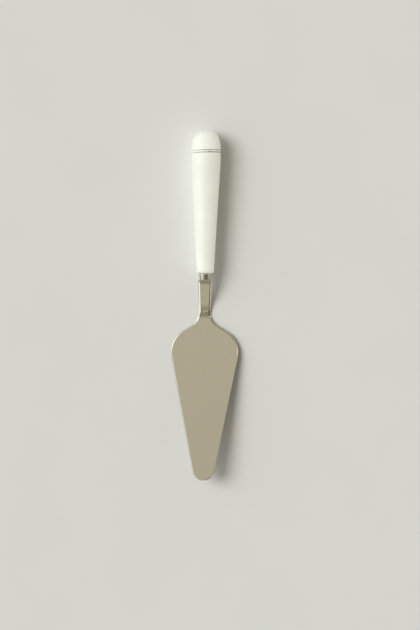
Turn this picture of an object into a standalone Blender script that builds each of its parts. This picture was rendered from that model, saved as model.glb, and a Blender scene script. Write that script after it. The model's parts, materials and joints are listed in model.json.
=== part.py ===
"""Cake server with a glazed ceramic handle.

Four pieces: a hollow ceramic handle, a beaded steel ferrule, a stamped stainless blade whose neck is
cranked and whose notched tang runs into the handle, and the cement that holds the tang there.

Metres. Y is the long axis, with the butt of the handle at +Y and the tip of the blade at -Y. Z is up.
The part lies on Z = 0, on the widest ring of its handle and on the heel of its blade.
"""

import math

import bmesh
import bpy

# Handle: a domed butt, a barrel that bends into a straight taper, and a rounded front edge.
HANDLE_LENGTH = 0.1070
BUTT_DIAMETER = 0.0218
FRONT_DIAMETER = 0.0128
DOME_LENGTH = 0.0154
DOME_FULLNESS = 2.4  # exponent of the dome's superellipse; 2 is an ellipse
BARREL_LENGTH = 0.0141
FRONT_ROUND = 0.0026
FRONT_SHARE = 0.9  # the most of the wall that the front edge's rounding takes
HANDLE_WALL = 0.0029

# Ferrule: beads as (width along the axis, diameter), from the handle to the blade.
BEADS = ((0.0015, 0.0094), (0.0014, 0.0088), (0.0011, 0.0089))
BEAD_DEPTH = 0.0006
BEAD_FULLNESS = 3.0  # exponent of the beads' superellipse; 2 is an ellipse
REGISTER_LENGTH = 0.0018

# Tang: square-edged stock with pairs of round notches that key it into the cement.
TANG_REACH = 0.0600  # into the handle, from its front face
TANG_WIDTH = 0.0038
TANG_END_CHAMFER = 0.0008
NOTCH_RADIUS = 0.0008
NOTCH_PITCH = 0.0120
NOTCH_COUNT = 4
CEMENT_BEYOND_TANG = 0.0060

# Neck and blade, flat as stamped.
STOCK_THICKNESS = 0.0025  # tang and upper neck
BLADE_THICKNESS = 0.0018
NECK_TOP_WIDTH = 0.0104
NECK_HEEL_WIDTH = 0.0086
NECK_CORNER = 0.0009
FLARE_ANGLE = math.radians(58.0)  # of the blade's upper edges, from the middle line
FLARE_RADIUS = 0.0123
BLADE_WIDTH = 0.0504
SHOULDER_SETBACK = 0.0264  # from the heel's lowest point to the widest place
SHOULDER_RADIUS = 0.0189
BLADE_LENGTH = 0.1221  # from the heel's lowest point to the tip
TIP_RADIUS = 0.0081
RIM_ROUND = 0.0008
RIM_SHARE = 0.45  # the most of the blade's thickness that each rounding of its rim takes

# Crank: the neck drops from the handle's axis, and the blade rises again from the heel.
NECK_LEAD = 0.0005  # straight metal in front of the ferrule
NECK_ANGLE = math.radians(27.0)
NECK_BEND_RADIUS = 0.0060
BLADE_RISE = math.radians(7.5)
HEEL_BEND_RADIUS = 0.0240

SEAT_GAP = 0.0003  # between pieces that bear on each other, and the glue line round the cement

# Fineness of the facets.
TURN_STEPS = 40
DOME_STEPS = 9
BARREL_STEPS = 5
ROUND_STEPS = 6
ARC_STEP = math.radians(7.0)
BEND_STEP = math.radians(4.0)
RIM_STEPS = 2
SHARP_ANGLE = math.radians(35.0)
WELD = 1e-7

# Worked out from the sizes above. Distances along the metal start at the neck's shoulder.
AXIS_HEIGHT = BUTT_DIAMETER / 2
FERRULE_LENGTH = sum(width for width, _ in BEADS)
NECK_START = FERRULE_LENGTH + 2 * SEAT_GAP  # from the handle's front face to the neck's shoulder
TANG_LENGTH = NECK_START + TANG_REACH
HANDLE_TAPER = (BUTT_DIAMETER - FRONT_DIAMETER) / 2 / (HANDLE_LENGTH - DOME_LENGTH - BARREL_LENGTH / 2)
MOUTH_RADIUS = FRONT_DIAMETER / 2 - HANDLE_WALL

BEND_DROP = (NECK_BEND_RADIUS + HEEL_BEND_RADIUS) * (1 - math.cos(NECK_ANGLE))
NECK_SLOPE = (AXIS_HEIGHT - BLADE_THICKNESS / 2 - BEND_DROP) / math.sin(NECK_ANGLE)
NECK_BEND_END = NECK_LEAD + NECK_BEND_RADIUS * NECK_ANGLE
HEEL_BEND_START = NECK_BEND_END + NECK_SLOPE
HEEL_LOW = HEEL_BEND_START + HEEL_BEND_RADIUS * NECK_ANGLE
HEEL_BEND_END = HEEL_LOW + HEEL_BEND_RADIUS * BLADE_RISE
TIP = HEEL_LOW + BLADE_LENGTH


def clear_scene():
    for leftover in list(bpy.data.objects):
        bpy.data.objects.remove(leftover, do_unlink=True)


def finish(name, colour, roughness, metallic):
    """A plain Principled material."""
    material = bpy.data.materials.new(name)
    material.use_nodes = True
    shader = material.node_tree.nodes["Principled BSDF"]
    shader.inputs["Base Color"].default_value = (*colour, 1.0)
    shader.inputs["Roughness"].default_value = roughness
    shader.inputs["Metallic"].default_value = metallic
    return material


def place(name, form, material, parent, y=0.0):
    """An object from a bmesh, on the handle's axis, `y` in front of or behind the handle's front face."""
    bmesh.ops.recalc_face_normals(form, faces=form.faces)
    mesh = bpy.data.meshes.new(name)
    form.to_mesh(mesh)
    form.free()
    mesh.shade_smooth()
    mesh.set_sharp_from_angle(angle=SHARP_ANGLE)
    if material:
        mesh.materials.append(material)
    piece = bpy.data.objects.new(name, mesh)
    bpy.context.scene.collection.objects.link(piece)
    piece.parent = parent
    piece.location = (0.0, y, AXIS_HEIGHT)
    return piece


def cut(piece, cutter):
    """Take a hidden cutter's shape out of a piece."""
    cutter.hide_render = True
    cutter.display_type = "WIRE"
    boolean = piece.modifiers.new("cut", "BOOLEAN")
    boolean.operation = "DIFFERENCE"
    boolean.solver = "EXACT"
    boolean.object = cutter


def turned(profile):
    """A solid turned about Y from (radius, y) pairs that start and end on the axis."""
    form = bmesh.new()
    points = [form.verts.new((radius, y, 0.0)) for radius, y in profile]
    edges = [form.edges.new(pair) for pair in zip(points, points[1:])]
    bmesh.ops.spin(
        form,
        geom=points + edges,
        cent=(0.0, 0.0, 0.0),
        axis=(0.0, 1.0, 0.0),
        angle=math.tau,
        steps=TURN_STEPS,
        use_merge=True,
    )
    bmesh.ops.remove_doubles(form, verts=form.verts, dist=WELD)
    return form


def plate(outline, thickness, cross_lines=()):
    """A flat plate from an (x, distance) outline, split across at some distances, about Z = 0."""
    form = bmesh.new()
    corners = [form.verts.new((x, -distance, -thickness / 2)) for x, distance in outline]
    form.faces.new(corners)
    for distance in cross_lines:
        bmesh.ops.bisect_plane(
            form,
            geom=form.verts[:] + form.edges[:] + form.faces[:],
            dist=WELD,
            plane_co=(0.0, -distance, 0.0),
            plane_no=(0.0, 1.0, 0.0),
        )
    raised = bmesh.ops.extrude_face_region(form, geom=form.faces[:])
    top = [item for item in raised["geom"] if isinstance(item, bmesh.types.BMVert)]
    bmesh.ops.translate(form, verts=top, vec=(0.0, 0.0, thickness))
    bmesh.ops.recalc_face_normals(form, faces=form.faces)
    return form


def handle_radius(from_butt):
    """Outer radius of the barrel and taper, past the dome."""
    past_dome = from_butt - DOME_LENGTH
    if past_dome < BARREL_LENGTH:
        return BUTT_DIAMETER / 2 - HANDLE_TAPER * past_dome**2 / (2 * BARREL_LENGTH)
    return BUTT_DIAMETER / 2 - HANDLE_TAPER * (past_dome - BARREL_LENGTH / 2)


def handle_profile(inset):
    """(radius, y) from the butt's pole to the end of the barrel, `inset` under the outer surface."""
    points = []
    for step in range(DOME_STEPS + 1):
        turn = math.pi / 2 * step / DOME_STEPS
        rise = max(math.cos(turn), 0.0) ** (2 / DOME_FULLNESS)
        spread = math.sin(turn) ** (2 / DOME_FULLNESS)
        from_butt = DOME_LENGTH - (DOME_LENGTH - inset) * rise
        points.append(((BUTT_DIAMETER / 2 - inset) * spread, HANDLE_LENGTH - from_butt))
    for step in range(1, BARREL_STEPS + 1):
        from_butt = DOME_LENGTH + BARREL_LENGTH * step / BARREL_STEPS
        points.append((handle_radius(from_butt) - inset, HANDLE_LENGTH - from_butt))
    return points


def make_handle(parent):
    lean = math.atan(HANDLE_TAPER)
    rounding = min(FRONT_ROUND, FRONT_SHARE * HANDLE_WALL)
    centre = FRONT_DIAMETER / 2 + HANDLE_TAPER * rounding - rounding / math.cos(lean)
    profile = handle_profile(0.0)
    for step in range(ROUND_STEPS + 1):
        turn = lean + (math.pi / 2 - lean) * step / ROUND_STEPS
        profile.append((centre + rounding * math.cos(turn), rounding * (1 - math.sin(turn))))
    profile.append((MOUTH_RADIUS, 0.0))
    profile += reversed(handle_profile(HANDLE_WALL))
    glaze = finish("white_glaze", colour=(0.87, 0.86, 0.80), roughness=0.12, metallic=0.0)
    place("handle", turned(profile), glaze, parent)


def make_ferrule(parent):
    register_radius = MOUTH_RADIUS - SEAT_GAP
    profile = [(0.0, REGISTER_LENGTH), (register_radius, REGISTER_LENGTH)]
    profile.append((register_radius, -SEAT_GAP))
    start = SEAT_GAP
    for width, diameter in BEADS:
        root = diameter / 2 - BEAD_DEPTH
        for step in range(ROUND_STEPS + 1):
            turn = math.pi * step / ROUND_STEPS
            spread = math.copysign(abs(math.cos(turn)) ** (2 / BEAD_FULLNESS), math.cos(turn))
            rise = abs(math.sin(turn)) ** (2 / BEAD_FULLNESS)
            along = start + width / 2 * (1 - spread)
            profile.append((root + BEAD_DEPTH * rise, -along))
        start += width
    profile.append((0.0, -start))
    steel = finish("polished_collar", colour=(0.62, 0.60, 0.54), roughness=0.10, metallic=1.0)
    collar = place("ferrule", turned(profile), steel, parent)
    half_slot = TANG_WIDTH / 2 + SEAT_GAP
    slot_outline = [
        (half_slot, -REGISTER_LENGTH - SEAT_GAP),
        (half_slot, NECK_START),
        (-half_slot, NECK_START),
        (-half_slot, -REGISTER_LENGTH - SEAT_GAP),
    ]
    slot = plate(slot_outline, STOCK_THICKNESS + 2 * SEAT_GAP)
    cut(collar, place("tang_slot", slot, None, parent))


def tang_side(grow):
    """(x, distance) along one side of the tang, from its end to the neck's shoulder, `grow` larger."""
    half = TANG_WIDTH / 2 + grow
    end = -TANG_LENGTH - grow
    points = [(half - TANG_END_CHAMFER, end), (half, end + TANG_END_CHAMFER)]
    for index in reversed(range(NOTCH_COUNT)):
        middle = -NECK_START - NOTCH_PITCH * (index + 1)
        for step in range(ROUND_STEPS + 1):
            turn = math.pi * step / ROUND_STEPS
            depth = (NOTCH_RADIUS - grow) * math.sin(turn)
            points.append((half - depth, middle - (NOTCH_RADIUS - grow) * math.cos(turn)))
    points.append((half, 0.0))
    return points


def tangent_heading(first, second):
    """Direction of the +X side normal of the line that touches two (x, distance, radius) circles."""
    across = second[0] - first[0]
    along = second[1] - first[1]
    lean = math.acos((first[2] - second[2]) / math.hypot(across, along))
    return math.atan2(along, across) - lean


def blade_side():
    """(x, distance) along one side, from the neck's shoulder to the tip: arcs joined by their tangents.

    A hollow arc has a negative radius.
    """
    flare_x = NECK_HEEL_WIDTH / 2 + FLARE_RADIUS
    shoulder_x = BLADE_WIDTH / 2 - SHOULDER_RADIUS
    shoulder = HEEL_LOW + SHOULDER_SETBACK
    apart = math.cos(FLARE_ANGLE) * (shoulder_x - flare_x) + FLARE_RADIUS + SHOULDER_RADIUS
    flare = shoulder - apart / math.sin(FLARE_ANGLE)
    circles = (
        (NECK_TOP_WIDTH / 2 - NECK_CORNER, NECK_CORNER, NECK_CORNER),
        (flare_x, flare, -FLARE_RADIUS),
        (shoulder_x, shoulder, SHOULDER_RADIUS),
        (0.0, TIP - TIP_RADIUS, TIP_RADIUS),
    )
    headings = [tangent_heading(*pair) for pair in zip(circles, circles[1:])]
    headings = [-math.pi / 2, *headings, math.pi / 2]
    points = []
    for (x, distance, radius), start, end in zip(circles, headings, headings[1:]):
        steps = math.ceil(abs(end - start) / ARC_STEP)
        for step in range(steps + 1):
            turn = start + (end - start) * step / steps
            points.append((x + radius * math.cos(turn), distance + radius * math.sin(turn)))
    return points


def mirrored(side):
    """A whole outline from its +X side, whose last point lies on the middle line."""
    return side + [(-x, distance) for x, distance in reversed(side[:-1])]


def crank(distance):
    """The blade's middle surface at a distance along the metal: y, z and the angle it falls at."""
    runs = (
        (NECK_LEAD, 0.0),
        (NECK_BEND_RADIUS * NECK_ANGLE, 1 / NECK_BEND_RADIUS),
        (NECK_SLOPE, 0.0),
        (HEEL_BEND_RADIUS * (NECK_ANGLE + BLADE_RISE), -1 / HEEL_BEND_RADIUS),
        (TIP - HEEL_BEND_END, 0.0),
    )
    y, z, fall = -min(distance, 0.0), 0.0, 0.0
    left = max(distance, 0.0)
    for length, bend in runs:
        step = min(left, length)
        if bend:
            turned_to = fall + bend * step
            y -= (math.sin(turned_to) - math.sin(fall)) / bend
            z -= (math.cos(fall) - math.cos(turned_to)) / bend
            fall = turned_to
        else:
            y -= step * math.cos(fall)
            z -= step * math.sin(fall)
        left -= step
    return y, z, fall


def thickness_at(distance):
    """Stock thickness on tang and upper neck, drawn down to the blade's along the slope of the neck."""
    share = (distance - NECK_BEND_END) / NECK_SLOPE
    share = min(max(share, 0.0), 1.0)
    return STOCK_THICKNESS + (BLADE_THICKNESS - STOCK_THICKNESS) * share


def bend_lines():
    """Distances where the metal has to be split to follow its two bends."""
    lines = []
    for start, turn, radius in (
        (NECK_LEAD, NECK_ANGLE, NECK_BEND_RADIUS),
        (HEEL_BEND_START, NECK_ANGLE, HEEL_BEND_RADIUS),
        (HEEL_LOW, BLADE_RISE, HEEL_BEND_RADIUS),
    ):
        steps = math.ceil(turn / BEND_STEP)
        lines += [start + radius * turn * step / steps for step in range(steps + 1)]
    return lines


def make_blade(parent):
    outline = mirrored(tang_side(0.0) + blade_side())
    form = plate(outline, BLADE_THICKNESS, bend_lines())
    rim = [
        edge
        for edge in form.edges
        if edge.calc_face_angle(0.0) > SHARP_ANGLE
        and all(vert.co.y < WELD for vert in edge.verts)
        and abs(edge.verts[0].co.z - edge.verts[1].co.z) < WELD
    ]
    bmesh.ops.bevel(
        form,
        geom=rim,
        offset=min(RIM_ROUND, RIM_SHARE * BLADE_THICKNESS),
        offset_type="OFFSET",
        segments=RIM_STEPS,
        profile=0.5,
        affect="EDGES",
        clamp_overlap=False,
        material=-1,
    )
    for vert in form.verts:
        distance = -vert.co.y
        y, z, fall = crank(distance)
        lift = vert.co.z * thickness_at(distance) / BLADE_THICKNESS
        vert.co.y = y - lift * math.sin(fall)
        vert.co.z = z + lift * math.cos(fall)
    steel = finish("polished_stainless", colour=(0.62, 0.60, 0.54), roughness=0.16, metallic=1.0)
    place("blade", form, steel, parent, -NECK_START)


def make_tang_cement(parent):
    inset = HANDLE_WALL + SEAT_GAP
    front = REGISTER_LENGTH + SEAT_GAP
    back = TANG_REACH + CEMENT_BEYOND_TANG
    front_radius = handle_radius(HANDLE_LENGTH - front) - inset
    back_radius = handle_radius(HANDLE_LENGTH - back) - inset
    profile = [(0.0, back), (back_radius, back), (front_radius, front), (0.0, front)]
    grey = finish("grey_cement", colour=(0.42, 0.41, 0.38), roughness=0.90, metallic=0.0)
    filling = place("tang_cement", turned(profile), grey, parent)
    space = tang_side(SEAT_GAP)
    outline = space + [(-x, distance) for x, distance in reversed(space)]
    tang_space = plate(outline, STOCK_THICKNESS + 2 * SEAT_GAP)
    cut(filling, place("tang_space", tang_space, None, parent, -NECK_START))


def main():
    clear_scene()
    assembly = bpy.data.objects.new("assembly", None)
    bpy.context.scene.collection.objects.link(assembly)
    tip_y = crank(TIP)[0] - NECK_START
    assembly.location = (0.0, -(HANDLE_LENGTH + tip_y) / 2, 0.0)
    make_handle(assembly)
    make_ferrule(assembly)
    make_blade(assembly)
    make_tang_cement(assembly)


main()
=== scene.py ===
"""Looks of the cake server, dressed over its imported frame.

A hollow glazed handle with two painted lines, a beaded collar, and a polished blade with a cranked neck.
Metres. Y runs along the handle, with the butt at +Y and the blade's tip at -Y. Z is up from the floor.
"""

import json
import math

import bmesh
import bpy
from mathutils import Matrix, Vector, noise

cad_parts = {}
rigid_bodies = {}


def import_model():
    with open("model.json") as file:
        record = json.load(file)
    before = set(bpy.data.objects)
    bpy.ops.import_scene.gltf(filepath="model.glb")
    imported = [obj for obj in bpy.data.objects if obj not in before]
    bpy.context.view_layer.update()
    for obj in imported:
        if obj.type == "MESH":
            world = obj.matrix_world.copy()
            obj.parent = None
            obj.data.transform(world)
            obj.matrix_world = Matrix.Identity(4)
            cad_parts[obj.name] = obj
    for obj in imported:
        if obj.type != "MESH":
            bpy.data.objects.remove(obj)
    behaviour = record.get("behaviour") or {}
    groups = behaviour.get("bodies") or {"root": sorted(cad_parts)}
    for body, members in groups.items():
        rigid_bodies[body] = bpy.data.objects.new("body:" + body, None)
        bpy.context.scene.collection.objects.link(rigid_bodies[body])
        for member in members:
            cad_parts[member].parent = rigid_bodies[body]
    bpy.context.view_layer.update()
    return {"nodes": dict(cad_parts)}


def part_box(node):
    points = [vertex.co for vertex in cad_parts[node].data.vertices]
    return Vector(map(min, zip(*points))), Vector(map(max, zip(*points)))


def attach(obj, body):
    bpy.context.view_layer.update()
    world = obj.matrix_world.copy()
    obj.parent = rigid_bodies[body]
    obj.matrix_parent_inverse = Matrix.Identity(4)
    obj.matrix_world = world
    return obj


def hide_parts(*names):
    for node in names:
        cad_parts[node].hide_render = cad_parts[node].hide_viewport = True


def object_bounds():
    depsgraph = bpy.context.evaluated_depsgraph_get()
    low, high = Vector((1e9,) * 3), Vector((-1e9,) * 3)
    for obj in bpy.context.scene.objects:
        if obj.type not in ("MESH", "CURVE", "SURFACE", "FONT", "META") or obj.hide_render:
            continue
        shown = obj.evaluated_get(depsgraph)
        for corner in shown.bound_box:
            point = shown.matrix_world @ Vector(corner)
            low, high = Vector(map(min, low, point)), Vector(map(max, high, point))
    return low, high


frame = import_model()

# Places and sizes read from the frame.
handle_low, handle_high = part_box("handle")
blade_low, blade_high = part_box("blade")
AXIS_HEIGHT = (handle_low.z + handle_high.z) / 2
HANDLE_FRONT = handle_low.y
HANDLE_BUTT = handle_high.y
HANDLE_LENGTH = HANDLE_BUTT - HANDLE_FRONT
BUTT_RADIUS = (handle_high.x - handle_low.x) / 2
BLADE_WIDTH = blade_high.x - blade_low.x

# Handle, as in the solids.
FRONT_RADIUS = 0.0064
DOME_LENGTH = 0.0154
DOME_FULLNESS = 2.4  # exponent of the dome's superellipse: 2 is an ellipse
BARREL_LENGTH = 0.0141
FRONT_ROUND = 0.0026
HANDLE_WALL = 0.0029
MOUTH_RADIUS = FRONT_RADIUS - HANDLE_WALL
HANDLE_TAPER = (BUTT_RADIUS - FRONT_RADIUS) / (HANDLE_LENGTH - DOME_LENGTH - BARREL_LENGTH / 2)

# Painted lines round the butt, as (name, distance from the butt, width), uneven as a brush leaves them.
PAINTED_LINES = (("butt_line", 0.0155, 0.00053), ("grip_line", 0.01715, 0.00064))
LINE_TILT = math.radians(2.2)
LINE_WAVER = 0.00010  # how far a line strays from its plane
LINE_SWELL = 0.35  # share of its width that comes and goes
LINE_WAVES = 120.0  # fineness of the waver, per metre; the swell is twice as fine
PAINT_LIFT = 0.00003
PAINT_THICKNESS = 0.00003

# Collar: beads as (width along the axis, diameter), from the handle to the blade.
BEADS = ((0.0015, 0.0094), (0.0014, 0.0088), (0.0011, 0.0089))
BEAD_DEPTH = 0.0006
BEAD_FULLNESS = 3.0  # exponent of the beads' superellipse
BEAD_GROOVE = 0.00028
REGISTER_LENGTH = 0.0018
SEAT_GAP = 0.0003
COLLAR_SEAT = 0.00004  # what is left of the gap between the collar's first bead and the handle
COLLAR_LENGTH = sum(width for width, _ in BEADS)

# Tang, neck and blade, flat as stamped. Distances along the metal start at the neck's shoulder.
NECK_START = COLLAR_LENGTH + 2 * SEAT_GAP
NECK_SHOULDER = HANDLE_FRONT - NECK_START
TANG_REACH = 0.0600  # into the handle, from its front face
TANG_LENGTH = NECK_START + TANG_REACH
TANG_WIDTH = 0.0038
TANG_END_CHAMFER = 0.0008
NOTCH_RADIUS = 0.0008
NOTCH_PITCH = 0.0120
NOTCH_COUNT = 4
STOCK_THICKNESS = 0.0025
BLADE_THICKNESS = 0.0018
NECK_TOP_WIDTH = 0.0104
NECK_HEEL_WIDTH = 0.0086
NECK_CORNER = 0.0009
FLARE_ANGLE = math.radians(58.0)
FLARE_RADIUS = 0.0123
SHOULDER_SETBACK = 0.0264
SHOULDER_RADIUS = 0.0189
BLADE_LENGTH = 0.1221
TIP_RADIUS = 0.0081

# Crank of the neck and rise of the blade.
NECK_LEAD = 0.0005
NECK_ANGLE = math.radians(27.0)
NECK_BEND_RADIUS = 0.0060
BLADE_RISE = math.radians(7.5)
HEEL_BEND_RADIUS = 0.0240
BEND_DROP = (NECK_BEND_RADIUS + HEEL_BEND_RADIUS) * (1 - math.cos(NECK_ANGLE))
NECK_SLOPE = (AXIS_HEIGHT - BLADE_THICKNESS / 2 - BEND_DROP) / math.sin(NECK_ANGLE)
NECK_BEND_END = NECK_LEAD + NECK_BEND_RADIUS * NECK_ANGLE
HEEL_BEND_START = NECK_BEND_END + NECK_SLOPE
HEEL_LOW = HEEL_BEND_START + HEEL_BEND_RADIUS * NECK_ANGLE
HEEL_BEND_END = HEEL_LOW + HEEL_BEND_RADIUS * BLADE_RISE
SHOULDER = HEEL_LOW + SHOULDER_SETBACK  # the blade's widest place
TIP = HEEL_LOW + BLADE_LENGTH

# Rolled rim: how far in from the outline its rounding reaches, and from where along the metal it is so wide.
TANG_RIM = 0.00025
NECK_RIM = 0.0016
SHOULDER_RIM = 0.0011
SIDE_RIM = 0.0006
NECK_RIM_FROM = 2.5 * NECK_CORNER
SHOULDER_RIM_FROM = SHOULDER - SHOULDER_RADIUS / 2
SHOULDER_RIM_END = SHOULDER - SHOULDER_RADIUS / 4
SIDE_RIM_FROM = SHOULDER + SHOULDER_RADIUS / 2
RIM_FULLNESS = 1.45  # exponent of the rim's superellipse: less than 2 is nearer a bevel
RIM_SUPPORT = 0.00015  # flat margin inside the rounding, which keeps the face's shading flat
RIM_STEPS = 12
RIM_POLISH_STEPS = 2  # the first of them, over which the rim's finer polish comes in

# Press mark across the heel: a slanted step down from the neck that dies out along the blade.
MARK_PAST_BEND = 0.0078
MARK_AT = HEEL_BEND_START + MARK_PAST_BEND
MARK_DEPTH = 0.00036
MARK_STEP = 0.0009
MARK_RUN = 0.0065
MARK_HALF = 0.0028
MARK_TILT = math.radians(13.0)
MARK_BOW = 0.0004  # towards the blade, at the -X end
MARK_BOW_FROM = 0.0020

# Fineness of the meshes.
TURN_STEPS = 144
DOME_STEPS = 36
BARREL_STEPS = 14
TAPER_STEPS = 10
ROUND_STEPS = 14
ARC_STEP = math.radians(2.5)
BEND_STEP = math.radians(1.0)
MARK_STEPS = (16, 24)  # lines across the mark's step and across its run
MARK_REACH = 2.2  # how far those lines go, in steps and runs
MARK_COLUMNS = 28
MARK_COLUMN_REACH = (2.0, 1.0)  # before and past the mark, in reaches of its step
SHARP_ANGLE = math.radians(40.0)
WELD = 1e-7

# Finishes: colours as pairs that a pattern blends, and roughness as ranges.
NOISE_SPAN = (0.30, 0.70)  # the part of a noise's range that a finish uses
CLEAR_SPAN = (0.35, 0.65)  # a narrower part, for clearer patches
GLAZE = ((0.80, 0.81, 0.765), (0.83, 0.84, 0.795))
GLAZE_ROUGHNESS = (0.13, 0.18)
GLAZE_IOR = 1.52
GLAZE_RIPPLE = 0.00003
SPECK = (0.42, 0.38, 0.30)
SPECK_CELLS = 420.0  # per metre; few of them have a speck
SPECK_EDGE = (0.05, 0.11)  # in shares of a cell
SPECK_CHANCE = (0.90, 0.92)
SPECK_STRENGTH = 0.35
LINE_PAINT = ((0.09, 0.09, 0.08), (0.66, 0.665, 0.63))  # full, and thin or paled by painted glare
LINE_ROUGHNESS = (0.16, 0.28)
LINE_PATCHES = 0.35
LINE_PAINTED_GLARE = 0.40  # painted glare: how much paler the paint is drawn at the -X side
LINE_GLARE_RUN = (-0.009, 0.003)  # X over which the painted glare fades out
STAINLESS = ((0.630, 0.598, 0.512), (0.655, 0.623, 0.536))
STAINLESS_ROUGHNESS = (0.085, 0.115)
STAINLESS_RELIEF = 0.000004
SMUDGE_SPAN = (0.35, 0.70)
SMUDGE_ROUGHNESS = 0.03
RIM_GLOSS = 0.5  # of the face's roughness
COLLAR_STEEL = ((0.575, 0.550, 0.490), (0.625, 0.600, 0.535))
COLLAR_ROUGHNESS = (0.03, 0.07)
COLLAR_RELIEF = 0.000001
# painted shade: the collar is drawn darker down in the grooves between the beads
GROOVE_SHADE = (0.26, 0.225, 0.17)
GROOVE_SHADE_ROUGHNESS = 0.35
CEMENT = ((0.36, 0.35, 0.32), (0.48, 0.47, 0.44))
CEMENT_ROUGHNESS = (0.82, 0.96)
CEMENT_PITS = 0.0002
FLOOR = ((0.815, 0.812, 0.800), (0.835, 0.832, 0.820))
FLOOR_ROUGHNESS = 0.9
FLOOR_HALF = 6.0
FLOOR_CELLS = 4

# The photograph's frame: 420 by 630 pixels, looking straight down.
FRAME_ROWS = 630
PIXEL = 0.0007422
FRAME_HEIGHT = FRAME_ROWS * PIXEL
VIEW_CENTRE = (0.0039, -0.0074)
VIEW_ROLL = 0.0093
CAMERA_HEIGHT = 1.60
SENSOR = 36.0

# Lamps.
WINDOW_PLACE = (-1.41, 0.35, 1.69)
WINDOW_SPREAD = math.radians(34.0)
WINDOW_STRENGTH = 1.70
WINDOW_COLOUR = (0.97, 1.0, 0.97)
FILL_PLACE = (1.68, 0.0, 1.41)
FILL_SIZE = 2.2
FILL_WATTS = 24.0
FILL_COLOUR = (1.0, 1.0, 0.90)

# The room that the metal mirrors. Colours are plain radiance, and places are the X, Y and Z of directions.
AMBIENT_SHARE = 0.65  # how much of the room lights matt surfaces
ROOM_LOW = (0.64, 0.63, 0.60)
ROOM_RISE = (0.05, 0.55)  # Z from the low room to the ceiling
CEILING_FRONT = (0.622, 0.590, 0.472)
CEILING_BACK = (0.654, 0.620, 0.520)
CEILING_RUN = (-0.80, 0.26)  # Y from the front to the back
WINDOW_WALL = (1.50, 1.52, 1.50)
WINDOW_WALL_EDGE = (0.50, 0.78)
WINDOW_WALL_LEAN = (-0.12, 0.30)  # per Y, in front and behind
WINDOW_RETURN_FROM = 0.5  # Y from which the wall turns back
WINDOW_RETURN_LEAN = -0.22
FILL_WALL = (1.25, 1.20, 1.08)
FILL_WALL_EDGE = (0.35, 0.75)
FILL_WALL_LEAN = (0.45, -0.90)

# Soft spots on its walls, as (colour, centre, reach, edge), with the edge in shares of the reach.
BRIGHT_PANE = ((2.05, 2.07, 2.02), (-0.80, 0.50), (0.22, 0.25), (0.6, 1.1))
DARK_CORNER = ((0.03, 0.025, 0.02), (0.44, -0.76), (0.24, 0.20), (0.7, 1.1))
DOORWAY = ((0.38, 0.33, 0.26), (0.80, -0.22), (0.22, 0.36), (0.6, 1.1))
SPOT_RANGE = 4.0  # how many reaches out a spot is worked out

# Soft panels in it, as (middle, inner, outer) along two axes.
WINDOW_POST = (1.00, 0.99, 0.95)
WINDOW_POST_PANEL = ((0.06, 0.12, 0.24), (0.26, 0.06, 0.13))  # along Y and Z
WINDOW_POST_RUN = (-0.8, 0.0)  # X over which it fades
CAMERA_SHADE = (0.10, 0.09, 0.07)
CAMERA_SHADE_PANEL = ((0.0, 0.15, 0.40), (-0.30, 0.16, 0.54))  # along X and Y, as those below
CAMERA_SHADE_SHARE = 0.43

# Dark flags by the camera, which draw the dark lines on collar and rims.
FLAGS = (0.02, 0.016, 0.01)
FLAG_PANEL = ((0.13, 0.52, 0.65), (-0.14, 0.22, 0.31))
FLAG_LEAN = (0.9, 0.0)
FLAG_CUT = (-0.44, -0.34)
FLAG_GAP = (0.0, 0.04, 0.07)  # along X, so that flat faces stay clear of them
CHINK = ((0.55, -0.15), (0.28, 0.12), (0.6, 1.1))
CHINK_SHARE = 0.50
JAMB_PANEL = ((0.72, 0.16, 0.22), (0.05, 0.06, 0.12))
JAMB_SHARE = 0.80
LINTEL_PANEL = ((0.45, 0.32, 0.42), (0.65, 0.30, 0.37))
LINTEL_SHARE = 0.48
SILL = ((0.45, -0.48), (0.22, 0.20), (0.7, 1.1))
SILL_SHARE = 0.80

MIX_FIRST, MIX_SECOND, MIX_RESULT = 6, 7, 2  # the colour sockets of a Mix node


def finished_piece(name, form, material, node=None):
    """An object from a bmesh whose vertices already lie in the frame."""
    bmesh.ops.recalc_face_normals(form, faces=form.faces)
    mesh = bpy.data.meshes.new(name)
    form.to_mesh(mesh)
    form.free()
    mesh.shade_smooth()
    mesh.set_sharp_from_angle(angle=SHARP_ANGLE)
    mesh.materials.append(material)
    piece = bpy.data.objects.new(name, mesh)
    bpy.context.scene.collection.objects.link(piece)
    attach(piece, "root")
    if node:
        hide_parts(node)


def turned(profile):
    """A form turned about the handle's axis from (radius, y) pairs."""
    form = bmesh.new()
    points = [form.verts.new((radius, y, AXIS_HEIGHT)) for radius, y in profile]
    edges = [form.edges.new(pair) for pair in zip(points, points[1:])]
    bmesh.ops.spin(
        form,
        geom=points + edges,
        cent=(0.0, 0.0, AXIS_HEIGHT),
        axis=(0.0, 1.0, 0.0),
        angle=math.tau,
        steps=TURN_STEPS,
        use_merge=True,
    )
    bmesh.ops.remove_doubles(form, verts=form.verts, dist=WELD)
    return form


def handle_radius(from_butt):
    """Outer radius of the barrel and taper, past the dome."""
    past_dome = from_butt - DOME_LENGTH
    if past_dome < BARREL_LENGTH:
        return BUTT_RADIUS - HANDLE_TAPER * past_dome**2 / (2 * BARREL_LENGTH)
    return BUTT_RADIUS - HANDLE_TAPER * (past_dome - BARREL_LENGTH / 2)


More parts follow.
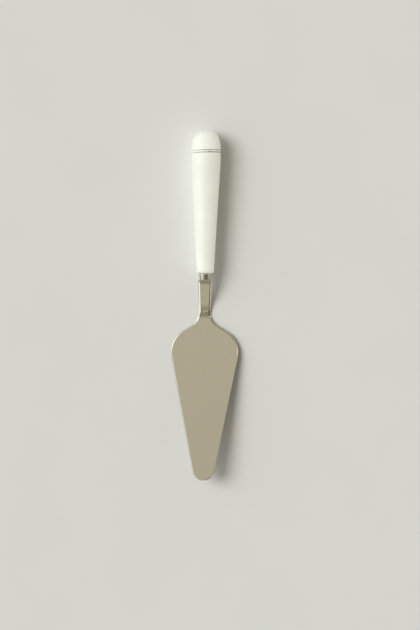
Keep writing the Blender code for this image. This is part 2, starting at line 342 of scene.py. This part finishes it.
def handle_profile(inset):
    """(radius, y) from the butt's pole to the end of the barrel, `inset` under the glaze."""
    points = []
    for step in range(DOME_STEPS + 1):
        turn = math.pi / 2 * step / DOME_STEPS
        rise = max(math.cos(turn), 0.0) ** (2 / DOME_FULLNESS)
        spread = math.sin(turn) ** (2 / DOME_FULLNESS)
        from_butt = DOME_LENGTH - (DOME_LENGTH - inset) * rise
        points.append(((BUTT_RADIUS - inset) * spread, HANDLE_BUTT - from_butt))
    for step in range(1, BARREL_STEPS + 1):
        from_butt = DOME_LENGTH + BARREL_LENGTH * step / BARREL_STEPS
        points.append((handle_radius(from_butt) - inset, HANDLE_BUTT - from_butt))
    return points


def glazed_handle():
    """A hollow shell: dome, barrel and taper outside, a rounded front edge, and the cavity's wall inside."""
    lean = math.atan(HANDLE_TAPER)
    centre = FRONT_RADIUS + HANDLE_TAPER * FRONT_ROUND - FRONT_ROUND / math.cos(lean)
    profile = handle_profile(0.0)
    taper_start = DOME_LENGTH + BARREL_LENGTH
    taper_end = HANDLE_LENGTH - FRONT_ROUND
    for step in range(1, TAPER_STEPS):
        from_butt = taper_start + (taper_end - taper_start) * step / TAPER_STEPS
        profile.append((handle_radius(from_butt), HANDLE_BUTT - from_butt))
    for step in range(ROUND_STEPS + 1):
        turn = lean + (math.pi / 2 - lean) * step / ROUND_STEPS
        from_front = FRONT_ROUND * (1 - math.sin(turn))
        profile.append((centre + FRONT_ROUND * math.cos(turn), HANDLE_FRONT + from_front))
    profile.append((MOUTH_RADIUS, HANDLE_FRONT))
    profile += reversed(handle_profile(HANDLE_WALL))
    finished_piece("glazed_handle", turned(profile), white_glaze(), "handle")


def painted_line(name, from_butt, width, paint):
    """A ring of paint on the glaze: a strip of the handle's own skin between two tilted planes."""
    middle = Vector((0.0, HANDLE_BUTT - from_butt, AXIS_HEIGHT))
    across = Vector((-math.sin(LINE_TILT), math.cos(LINE_TILT), 0.0))
    form = turned(handle_profile(-PAINT_LIFT))
    for side in (-1, 1):
        bmesh.ops.bisect_plane(
            form,
            geom=form.verts[:] + form.edges[:] + form.faces[:],
            dist=WELD,
            plane_co=middle + across * (side * width / 2),
            plane_no=across * side,
            clear_outer=True,
        )
    for vert in form.verts:
        aside = (vert.co - middle).dot(across)
        wave = noise.noise(vert.co * LINE_WAVES)
        swell = noise.noise(vert.co * (2 * LINE_WAVES))
        vert.co.y += LINE_WAVER * wave + LINE_SWELL * aside * swell
    bmesh.ops.recalc_face_normals(form, faces=form.faces)
    bmesh.ops.solidify(form, geom=form.faces[:], thickness=PAINT_THICKNESS)
    finished_piece(name, form, paint)


def beaded_collar():
    """Three full beads on a register that centres the collar in the handle's mouth."""
    register_radius = MOUTH_RADIUS - SEAT_GAP
    register_end = HANDLE_FRONT + REGISTER_LENGTH
    profile = [(0.0, register_end), (register_radius, register_end)]
    start = COLLAR_SEAT
    end = SEAT_GAP
    profile.append((register_radius, HANDLE_FRONT - start))
    for width, diameter in BEADS:
        end += width
        root = diameter / 2 - BEAD_DEPTH
        profile.append((root, HANDLE_FRONT - start))
        for step in range(ROUND_STEPS + 1):
            turn = math.pi * step / ROUND_STEPS
            spread = math.copysign(abs(math.cos(turn)) ** (2 / BEAD_FULLNESS), math.cos(turn))
            rise = abs(math.sin(turn)) ** (2 / BEAD_FULLNESS)
            along = (start + end - (end - start - BEAD_GROOVE) * spread) / 2
            profile.append((root + BEAD_DEPTH * rise, HANDLE_FRONT - along))
        profile.append((root, HANDLE_FRONT - end))
        start = end
    profile.append((0.0, HANDLE_FRONT - end))
    finished_piece("beaded_collar", turned(profile), polished_collar(), "ferrule")


def tang_side():
    """(x, distance) along one side of the tang, from its end to the neck's shoulder."""
    half = TANG_WIDTH / 2
    points = [(half - TANG_END_CHAMFER, -TANG_LENGTH), (half, TANG_END_CHAMFER - TANG_LENGTH)]
    for index in reversed(range(NOTCH_COUNT)):
        middle = -NECK_START - NOTCH_PITCH * (index + 1)
        for step in range(ROUND_STEPS + 1):
            turn = math.pi * step / ROUND_STEPS
            points.append((half - NOTCH_RADIUS * math.sin(turn), middle - NOTCH_RADIUS * math.cos(turn)))
    points.append((half, 0.0))
    return points


def tangent_heading(first, second):
    """Direction of the +X side normal of the line that touches two (x, distance, radius) circles."""
    across = second[0] - first[0]
    along = second[1] - first[1]
    lean = math.acos((first[2] - second[2]) / math.hypot(across, along))
    return math.atan2(along, across) - lean


def blade_side():
    """(x, distance) along one side, from the neck's shoulder to the tip: arcs joined by their tangents.

    A hollow arc has a negative radius.
    """
    flare_x = NECK_HEEL_WIDTH / 2 + FLARE_RADIUS
    shoulder_x = BLADE_WIDTH / 2 - SHOULDER_RADIUS
    apart = math.cos(FLARE_ANGLE) * (shoulder_x - flare_x) + FLARE_RADIUS + SHOULDER_RADIUS
    flare = SHOULDER - apart / math.sin(FLARE_ANGLE)
    circles = (
        (NECK_TOP_WIDTH / 2 - NECK_CORNER, NECK_CORNER, NECK_CORNER),
        (flare_x, flare, -FLARE_RADIUS),
        (shoulder_x, SHOULDER, SHOULDER_RADIUS),
        (0.0, TIP - TIP_RADIUS, TIP_RADIUS),
    )
    headings = [tangent_heading(*pair) for pair in zip(circles, circles[1:])]
    headings = [-math.pi / 2, *headings, math.pi / 2]
    points = []
    for (x, distance, radius), start, end in zip(circles, headings, headings[1:]):
        steps = math.ceil(abs(end - start) / ARC_STEP)
        for step in range(steps + 1):
            turn = start + (end - start) * step / steps
            points.append((x + radius * math.cos(turn), distance + radius * math.sin(turn)))
    return points


def crank(distance):
    """The blade's middle surface at a distance along the metal: y, z and the angle it falls at."""
    runs = (
        (NECK_LEAD, 0.0),
        (NECK_BEND_RADIUS * NECK_ANGLE, 1 / NECK_BEND_RADIUS),
        (NECK_SLOPE, 0.0),
        (HEEL_BEND_RADIUS * (NECK_ANGLE + BLADE_RISE), -1 / HEEL_BEND_RADIUS),
        (TIP - HEEL_BEND_END, 0.0),
    )
    y, z, fall = NECK_SHOULDER - min(distance, 0.0), AXIS_HEIGHT, 0.0
    left = max(distance, 0.0)
    for length, bend in runs:
        step = min(left, length)
        if bend:
            turned_to = fall + bend * step
            y -= (math.sin(turned_to) - math.sin(fall)) / bend
            z -= (math.cos(fall) - math.cos(turned_to)) / bend
            fall = turned_to
        else:
            y -= step * math.cos(fall)
            z -= step * math.sin(fall)
        left -= step
    return y, z, fall


def eased(value, low, high):
    """0 below `low`, 1 above `high`, and a smooth step between."""
    share = min(max((value - low) / (high - low), 0.0), 1.0)
    return share * share * (3 - 2 * share)


def thickness_at(distance):
    """Stock thickness on tang and upper neck, drawn down to the blade's along the slope of the neck."""
    share = min(max((distance - NECK_BEND_END) / NECK_SLOPE, 0.0), 1.0)
    return STOCK_THICKNESS + (BLADE_THICKNESS - STOCK_THICKNESS) * share


def rim_at(distance):
    """The rim's width: slight on the tang, full on the neck and shoulders, fine down the blade's sides."""
    width = TANG_RIM + (NECK_RIM - TANG_RIM) * eased(distance, 0.0, NECK_RIM_FROM)
    width += (SHOULDER_RIM - NECK_RIM) * eased(distance, HEEL_BEND_START, SHOULDER_RIM_FROM)
    return width + (SIDE_RIM - SHOULDER_RIM) * eased(distance, SHOULDER_RIM_END, SIDE_RIM_FROM)


def mark_drop(x, distance):
    """Depth of the press mark: a slanted step, bent towards the blade at its -X end, and a long run out."""
    past_step = distance - MARK_AT + x * math.tan(MARK_TILT)
    past_step -= MARK_BOW * eased(-x, MARK_BOW_FROM, MARK_HALF)
    spread = MARK_RUN if past_step > 0 else MARK_STEP
    return MARK_DEPTH * math.exp(-((past_step / spread) ** 2))


def split(form, faces, place, across):
    """Cut some faces of a flat sheet along a straight line."""
    edges = {edge for face in faces for edge in face.edges}
    verts = {vert for face in faces for vert in face.verts}
    bmesh.ops.bisect_plane(
        form,
        geom=[*verts, *edges, *faces],
        dist=WELD,
        plane_co=place,
        plane_no=across,
    )


def stamped_sheet():
    """The blank: one flat face of the outline, split where it will bend and where the press mark lies."""
    side = tang_side() + blade_side()
    outline = side + [(-x, distance) for x, distance in reversed(side[:-1])]
    form = bmesh.new()
    form.faces.new([form.verts.new((x, -distance, 0.0)) for x, distance in outline])
    lines = [-NECK_START, 0.0]
    for start, turn, radius in (
        (NECK_LEAD, NECK_ANGLE, NECK_BEND_RADIUS),
        (HEEL_BEND_START, NECK_ANGLE + BLADE_RISE, HEEL_BEND_RADIUS),
    ):
        steps = math.ceil(turn / BEND_STEP)
        lines += [start + radius * turn * step / steps for step in range(steps + 1)]
    upper, lower = MARK_REACH * MARK_STEP, MARK_REACH * MARK_RUN
    lines += [MARK_AT - upper * step / MARK_STEPS[0] for step in range(MARK_STEPS[0] + 1)]
    lines += [MARK_AT + lower * step / MARK_STEPS[1] for step in range(1, MARK_STEPS[1] + 1)]
    for distance in lines:
        split(form, form.faces[:], (0.0, -distance, 0.0), (0.0, 1.0, 0.0))
    before, past = (upper * share for share in MARK_COLUMN_REACH)
    for step in range(MARK_COLUMNS + 1):
        x = MARK_HALF * (2 * step / MARK_COLUMNS - 1)
        marked = [
            face for face in form.faces if -before < -face.calc_center_median().y - MARK_AT < past
        ]
        split(form, marked, (x, 0.0, 0.0), (1.0, 0.0, 0.0))
    if form.faces[:][0].normal.z < 0:
        bmesh.ops.reverse_faces(form, faces=form.faces)
    return form


def roll_rim(form):
    """Turn the sheet into the upper half of a plate of half-thickness 1, with its edge rolled over."""
    home = form.verts.layers.float_vector.new("home")
    out = form.verts.layers.float_vector.new("out")
    polish = form.verts.layers.float.new("rim_polish")
    edges = [edge for edge in form.edges if edge.is_boundary]
    for edge in edges:
        loop = edge.link_loops[0]
        run = loop.link_loop_next.vert.co - loop.vert.co
        facing = Vector((run.y, -run.x, 0.0)).normalized()
        for vert in edge.verts:
            vert[out] += facing
    border = {vert for edge in edges for vert in edge.verts}
    for vert in border:
        vert[out].normalize()
        vert[home] = vert.co
    for vert in border:
        vert.co -= vert[out] * (rim_at(-vert[home].y) + RIM_SUPPORT)
    for vert in form.verts:
        vert.co.z = 1.0
    for step in range(RIM_STEPS + 1):
        turn = math.pi / 2 * step / RIM_STEPS
        grown = bmesh.ops.extrude_edge_only(form, edges=edges)["geom"]
        ring = [item for item in grown if isinstance(item, bmesh.types.BMVert)]
        edges = [item for item in grown if isinstance(item, bmesh.types.BMEdge) and item.is_boundary]
        for vert in ring:
            inward = rim_at(-vert[home].y) * (1 - math.sin(turn) ** (2 / RIM_FULLNESS))
            vert.co = vert[home] - vert[out] * inward
            vert.co.z = max(math.cos(turn), 0.0) ** (2 / RIM_FULLNESS)
            vert[polish] = min(step / RIM_POLISH_STEPS, 1.0)


def polished_blade():
    """The stamped sheet with its rim rolled, closed by its mirrored underside, marked and bent."""
    form = stamped_sheet()
    roll_rim(form)
    bmesh.ops.mirror(
        form,
        geom=form.verts[:] + form.edges[:] + form.faces[:],
        matrix=Matrix.Identity(4),
        merge_dist=WELD,
        axis="Z",
    )
    for vert in form.verts:
        distance = -vert.co.y
        y, z, fall = crank(distance)
        half = thickness_at(distance) / 2
        if vert.co.z > 0:
            half -= mark_drop(vert.co.x, distance)
        lift = vert.co.z * half
        vert.co.y = y - lift * math.sin(fall)
        vert.co.z = z + lift * math.cos(fall)
    finished_piece("polished_blade", form, polished_steel(), "blade")


def node_material(name):
    """A new material with its tree and its Principled shader."""
    material = bpy.data.materials.new(name)
    material.use_nodes = True
    return material, material.node_tree, material.node_tree.nodes["Principled BSDF"]


def add_node(tree, kind, inputs=(), **settings):
    """A node with its settings and its inputs: an input that is a socket is linked, any other is a value."""
    node = tree.nodes.new(kind)
    for name, value in settings.items():
        setattr(node, name, value)
    for name, value in dict(inputs).items():
        if isinstance(value, bpy.types.NodeSocket):
            tree.links.new(value, node.inputs[name])
        else:
            node.inputs[name].default_value = value
    return node


def object_axes(tree):
    """X, Y and Z of a piece's Object coordinates."""
    place = add_node(tree, "ShaderNodeTexCoord")
    axes = add_node(tree, "ShaderNodeSeparateXYZ", {"Vector": place.outputs["Object"]})
    return [axes.outputs[name] for name in "XYZ"]


def pattern(tree, scale, stretch=(1.0, 1.0, 1.0), detail=3.0):
    """Noise on Object coordinates, `stretch` times finer along each axis."""
    place = add_node(tree, "ShaderNodeTexCoord")
    mapping = add_node(
        tree,
        "ShaderNodeMapping",
        {"Vector": place.outputs["Object"], "Scale": stretch},
    )
    return add_node(
        tree,
        "ShaderNodeTexNoise",
        {"Vector": mapping.outputs["Vector"], "Scale": scale, "Detail": detail},
    ).outputs["Fac"]


def ranged(tree, value, low, high, to_low, to_high, kind="LINEAR"):
    """A socket's value carried from one range to another, clamped."""
    node = add_node(
        tree,
        "ShaderNodeMapRange",
        {"Value": value, "From Min": low, "From Max": high, "To Min": to_low, "To Max": to_high},
        interpolation_type=kind,
    )
    return node.outputs["Result"]


def spread_noise(tree, value, to_low, to_high, span=NOISE_SPAN):
    """The middle of a noise's range carried to a range of values."""
    return ranged(tree, value, *span, to_low, to_high)


def sums(tree, operation, *values):
    """A Math node's result."""
    return add_node(tree, "ShaderNodeMath", dict(enumerate(values)), operation=operation).outputs[0]


def blended(tree, share, first, second):
    """Two colours, or colour sockets, mixed by a socket."""
    node = add_node(tree, "ShaderNodeMix", data_type="RGBA")
    tree.links.new(share, node.inputs["Factor"])
    for socket, colour in ((node.inputs[MIX_FIRST], first), (node.inputs[MIX_SECOND], second)):
        if isinstance(colour, bpy.types.NodeSocket):
            tree.links.new(colour, socket)
        else:
            socket.default_value = (*colour, 1.0)
    return node.outputs[MIX_RESULT]


def raised(tree, shader, height, distance):
    """Fine relief on a shader."""
    bump = add_node(tree, "ShaderNodeBump", {"Height": height, "Distance": distance, "Strength": 1.0})
    tree.links.new(bump.outputs["Normal"], shader.inputs["Normal"])


def white_glaze():
    """Glossy off-white glaze, pooled a little unevenly, with a few faint specks."""
    material, tree, shader = node_material("white_glaze")
    pooling = pattern(tree, scale=55.0, detail=2.0)
    body = blended(tree, spread_noise(tree, pooling, 0.0, 1.0, CLEAR_SPAN), *GLAZE)
    place = add_node(tree, "ShaderNodeTexCoord")
    cells = add_node(tree, "ShaderNodeTexVoronoi", {"Vector": place.outputs["Object"], "Scale": SPECK_CELLS})
    dots = ranged(tree, cells.outputs["Distance"], *SPECK_EDGE, 1.0, 0.0)
    chance = add_node(tree, "ShaderNodeSeparateColor", {"Color": cells.outputs["Color"]})
    kept = ranged(tree, chance.outputs["Red"], *SPECK_CHANCE, 0.0, SPECK_STRENGTH)
    colour = blended(tree, sums(tree, "MULTIPLY", dots, kept), body, SPECK)
    tree.links.new(colour, shader.inputs["Base Color"])
    gloss = spread_noise(tree, pattern(tree, scale=240.0), *GLAZE_ROUGHNESS)
    tree.links.new(gloss, shader.inputs["Roughness"])
    shader.inputs["IOR"].default_value = GLAZE_IOR
    raised(tree, shader, pattern(tree, scale=300.0, detail=1.0), GLAZE_RIPPLE)
    return material


def line_paint():
    """Grey fired paint, thin in places where the white shows through, and drawn paler towards -X as painted
    glare.
    """
    material, tree, shader = node_material("line_paint")
    x, _, _ = object_axes(tree)
    patches = spread_noise(tree, pattern(tree, scale=420.0, detail=2.0), 0.0, LINE_PATCHES, CLEAR_SPAN)
    # painted glare: paler towards -X, added to the real thin patches
    thin_paint_and_glare = sums(tree, "ADD", patches, ranged(tree, x, *LINE_GLARE_RUN, LINE_PAINTED_GLARE, 0.0))
    tree.links.new(blended(tree, thin_paint_and_glare, *LINE_PAINT), shader.inputs["Base Color"])
    tree.links.new(ranged(tree, thin_paint_and_glare, 0.0, 1.0, *LINE_ROUGHNESS), shader.inputs["Roughness"])
    return material


def polished_steel():
    """Polished stainless sheet: faint lengthwise polishing lines, smudges, and a finer polish on the rim."""
    material, tree, shader = node_material("polished_stainless")
    shader.inputs["Metallic"].default_value = 1.0
    lines = pattern(tree, scale=60.0, stretch=(30.0, 0.6, 30.0), detail=4.0)
    smudge = pattern(tree, scale=38.0, detail=3.0)
    colour = blended(tree, spread_noise(tree, lines, 0.0, 1.0), *STAINLESS)
    tree.links.new(colour, shader.inputs["Base Color"])
    face = sums(
        tree,
        "ADD",
        spread_noise(tree, lines, *STAINLESS_ROUGHNESS),
        spread_noise(tree, smudge, 0.0, SMUDGE_ROUGHNESS, SMUDGE_SPAN),
    )
    rim = add_node(tree, "ShaderNodeAttribute", attribute_name="rim_polish")
    gloss = sums(tree, "MULTIPLY", face, ranged(tree, rim.outputs["Fac"], 0.0, 1.0, 1.0, RIM_GLOSS))
    tree.links.new(gloss, shader.inputs["Roughness"])
    raised(tree, shader, lines, STAINLESS_RELIEF)
    return material


def polished_collar():
    """Mirror-polished steel with the faint rings that turning leaves, and painted shade that darkens it down
    in the grooves.
    """
    material, tree, shader = node_material("polished_collar")
    shader.inputs["Metallic"].default_value = 1.0
    rings = pattern(tree, scale=60.0, stretch=(0.6, 45.0, 0.6), detail=3.0)
    steel = blended(tree, spread_noise(tree, rings, 0.0, 1.0), *COLLAR_STEEL)
    x, _, z = object_axes(tree)
    height = sums(tree, "SUBTRACT", z, AXIS_HEIGHT)
    across = sums(tree, "POWER", x, 2.0)
    radius = sums(tree, "SQRT", sums(tree, "MULTIPLY_ADD", height, height, across))
    smallest = min(diameter for _, diameter in BEADS) / 2
    # painted shade towards the roots of the beads, which also makes the steel rougher there
    groove_shade = ranged(tree, radius, smallest - BEAD_DEPTH, smallest - BEAD_DEPTH / 4, 1.0, 0.0)
    tree.links.new(blended(tree, groove_shade, steel, GROOVE_SHADE), shader.inputs["Base Color"])
    gloss = spread_noise(tree, rings, *COLLAR_ROUGHNESS)
    tree.links.new(sums(tree, "MULTIPLY_ADD", groove_shade, GROOVE_SHADE_ROUGHNESS, gloss), shader.inputs["Roughness"])
    raised(tree, shader, rings, COLLAR_RELIEF)
    return material


def grey_cement():
    """Set potting cement: mottled, pitted and matt."""
    material, tree, shader = node_material("grey_cement")
    mottle = pattern(tree, scale=160.0, detail=6.0)
    grain = pattern(tree, scale=1400.0, detail=4.0)
    tree.links.new(blended(tree, spread_noise(tree, mottle, 0.0, 1.0), *CEMENT), shader.inputs["Base Color"])
    tree.links.new(spread_noise(tree, grain, *CEMENT_ROUGHNESS), shader.inputs["Roughness"])
    raised(tree, shader, grain, CEMENT_PITS)
    return material


def floor_finish():
    """A plain pale floor, faintly mottled and without gloss."""
    material, tree, shader = node_material("pale_floor")
    mottle = spread_noise(tree, pattern(tree, scale=14.0, detail=5.0), 0.0, 1.0)
    tree.links.new(blended(tree, mottle, *FLOOR), shader.inputs["Base Color"])
    shader.inputs["Roughness"].default_value = FLOOR_ROUGHNESS
    shader.inputs["Specular IOR Level"].default_value = 0.0
    return material


def lay_floor():
    """The floor, under the lowest visible point."""
    form = bmesh.new()
    bmesh.ops.create_grid(form, x_segments=FLOOR_CELLS, y_segments=FLOOR_CELLS, size=FLOOR_HALF)
    mesh = bpy.data.meshes.new("floor")
    form.to_mesh(mesh)
    form.free()
    mesh.materials.append(floor_finish())
    floor = bpy.data.objects.new("floor", mesh)
    bpy.context.scene.collection.objects.link(floor)
    floor.location.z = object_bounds()[0].z


def soft_spot(tree, x, y, centre, reach, edge):
    """1 inside an ellipse of directions seen from below, 0 outside it, with a soft edge."""
    across, along = (
        ranged(tree, value, middle - SPOT_RANGE * half, middle + SPOT_RANGE * half, -SPOT_RANGE, SPOT_RANGE)
        for value, middle, half in zip((x, y), centre, reach)
    )
    flat = add_node(tree, "ShaderNodeCombineXYZ", {"X": across, "Y": along})
    away = add_node(tree, "ShaderNodeVectorMath", {0: flat.outputs[0]}, operation="LENGTH")
    return ranged(tree, away.outputs["Value"], *edge, 1.0, 0.0, "SMOOTHSTEP")


def within(tree, value, middle, inner, outer):
    """1 where a value is less than `inner` from `middle`, 0 past `outer`, with a soft edge between."""
    away = sums(tree, "ABSOLUTE", sums(tree, "SUBTRACT", value, middle))
    return ranged(tree, away, inner, outer, 1.0, 0.0, "SMOOTHSTEP")


def soft_panel(tree, first, second, panel):
    """1 inside a rectangle along two axes, 0 outside it, with soft edges."""
    return sums(tree, "MULTIPLY", within(tree, first, *panel[0]), within(tree, second, *panel[1]))


def leaning(tree, value, y, lean):
    """A value that grows with Y, at one rate in front of the server and at another behind it."""
    front, behind = lean
    value = sums(tree, "MULTIPLY_ADD", sums(tree, "MINIMUM", y, 0.0), front, value)
    return sums(tree, "MULTIPLY_ADD", sums(tree, "MAXIMUM", y, 0.0), behind, value)


def pale_walls(tree, x, y, z):
    """Low room and ceiling, with the window wall at the left and a paler wall at the right."""
    leftward = leaning(tree, sums(tree, "MULTIPLY", x, -1.0), y, WINDOW_WALL_LEAN)
    returning = sums(tree, "MAXIMUM", sums(tree, "SUBTRACT", y, WINDOW_RETURN_FROM), 0.0)
    leftward = sums(tree, "MULTIPLY_ADD", returning, WINDOW_RETURN_LEAN, leftward)
    rightward = leaning(tree, x, y, FILL_WALL_LEAN)
    ceiling = blended(tree, ranged(tree, y, *CEILING_RUN, 0.0, 1.0), CEILING_FRONT, CEILING_BACK)
    room = blended(tree, ranged(tree, z, *ROOM_RISE, 0.0, 1.0, "SMOOTHSTEP"), ROOM_LOW, ceiling)
    for side, edge, colour in (
        (leftward, WINDOW_WALL_EDGE, WINDOW_WALL),
        (rightward, FILL_WALL_EDGE, FILL_WALL),
    ):
        room = blended(tree, ranged(tree, side, *edge, 0.0, 1.0, "SMOOTHSTEP"), room, colour)
    return room


def dark_flags(tree, x, y):
    """Weight of the flags: a slanted panel with a chink, its jamb, lintel and sill, and a gap between."""
    slant = leaning(tree, x, y, FLAG_LEAN)
    flags = soft_panel(tree, x, y, FLAG_PANEL)
    flags = sums(tree, "MULTIPLY", flags, ranged(tree, slant, *FLAG_CUT, 0.0, 1.0))
    chink = soft_spot(tree, x, y, *CHINK)
    flags = sums(tree, "MULTIPLY", flags, sums(tree, "MULTIPLY_ADD", chink, -CHINK_SHARE, 1.0))
    jamb = soft_panel(tree, x, y, JAMB_PANEL)
    flags = sums(tree, "MAXIMUM", flags, sums(tree, "MULTIPLY", jamb, JAMB_SHARE))
    lintel = soft_panel(tree, x, y, LINTEL_PANEL)
    flags = sums(tree, "MULTIPLY_ADD", lintel, LINTEL_SHARE, flags)
    sill = soft_spot(tree, x, y, *SILL)
    flags = sums(tree, "MINIMUM", sums(tree, "MULTIPLY_ADD", sill, SILL_SHARE, flags), 1.0)
    gap = within(tree, x, *FLAG_GAP)
    return sums(tree, "MULTIPLY", flags, sums(tree, "SUBTRACT", 1.0, gap))


def studio_surround():
    """A pale room: window post, bright pane, dark corner, doorway, the camera's shade and dark flags."""
    world = bpy.data.worlds.new("studio")
    bpy.context.scene.world = world
    world.use_nodes = True
    tree = world.node_tree
    background = tree.nodes["Background"]
    place = add_node(tree, "ShaderNodeTexCoord")
    axes = add_node(tree, "ShaderNodeSeparateXYZ", {"Vector": place.outputs["Generated"]})
    x, y, z = (axes.outputs[name] for name in "XYZ")
    room = pale_walls(tree, x, y, z)
    post = soft_panel(tree, y, z, WINDOW_POST_PANEL)
    post = sums(tree, "MULTIPLY", post, ranged(tree, x, *WINDOW_POST_RUN, 1.0, 0.0))
    room = blended(tree, post, room, WINDOW_POST)
    for colour, *spot in (BRIGHT_PANE, DARK_CORNER, DOORWAY):
        room = blended(tree, soft_spot(tree, x, y, *spot), room, colour)
    shade = sums(tree, "MULTIPLY", soft_panel(tree, x, y, CAMERA_SHADE_PANEL), CAMERA_SHADE_SHARE)
    room = blended(tree, shade, room, CAMERA_SHADE)
    room = blended(tree, dark_flags(tree, x, y), room, FLAGS)
    tree.links.new(room, background.inputs["Color"])
    ray = add_node(tree, "ShaderNodeLightPath")
    seen = sums(tree, "MAXIMUM", ray.outputs["Is Camera Ray"], ray.outputs["Is Glossy Ray"])
    tree.links.new(ranged(tree, seen, 0.0, 1.0, AMBIENT_SHARE, 1.0), background.inputs["Strength"])


def hang_lamp(name, kind, place, energy, colour):
    """A soft lamp aimed at the server, seen by its light alone."""
    data = bpy.data.lights.new(name, kind)
    data.energy = energy
    data.color = colour
    lamp = bpy.data.objects.new(name, data)
    bpy.context.scene.collection.objects.link(lamp)
    lamp.location = place
    lamp.rotation_euler = (-Vector(place)).to_track_quat("-Z", "Y").to_euler()
    lamp.visible_glossy = False
    return lamp


def light_room():
    """Daylight from the upper left, even over the floor, and a weaker lamp at the right that misses it."""
    window = hang_lamp("window", "SUN", WINDOW_PLACE, WINDOW_STRENGTH, WINDOW_COLOUR)
    window.data.angle = WINDOW_SPREAD
    fill = hang_lamp("fill", "AREA", FILL_PLACE, FILL_WATTS, FILL_COLOUR)
    fill.data.size = FILL_SIZE
    filled = bpy.data.collections.new("filled")
    for piece in bpy.context.scene.objects:
        if piece.type == "MESH" and piece.name != "floor":
            filled.objects.link(piece)
    fill.light_linking.receiver_collection = filled


def set_camera():
    """The photograph's view, from straight above."""
    data = bpy.data.cameras.new("camera")
    data.sensor_width = SENSOR
    data.lens = SENSOR * CAMERA_HEIGHT / FRAME_HEIGHT
    camera = bpy.data.objects.new("camera", data)
    bpy.context.scene.collection.objects.link(camera)
    camera.location = (*VIEW_CENTRE, CAMERA_HEIGHT + AXIS_HEIGHT)
    camera.rotation_euler = (0.0, 0.0, VIEW_ROLL)
    bpy.context.scene.camera = camera


def dress():
    """Every piece of the server, and the finish of the cement inside it."""
    glazed_handle()
    paint = line_paint()
    for name, from_butt, width in PAINTED_LINES:
        painted_line(name, from_butt, width, paint)
    beaded_collar()
    polished_blade()
    cement = frame["nodes"]["tang_cement"]
    cement.data.materials.clear()
    cement.data.materials.append(grey_cement())


dress()
lay_floor()
studio_surround()
light_room()
set_camera()
bpy.context.scene.view_settings.view_transform = "Standard"
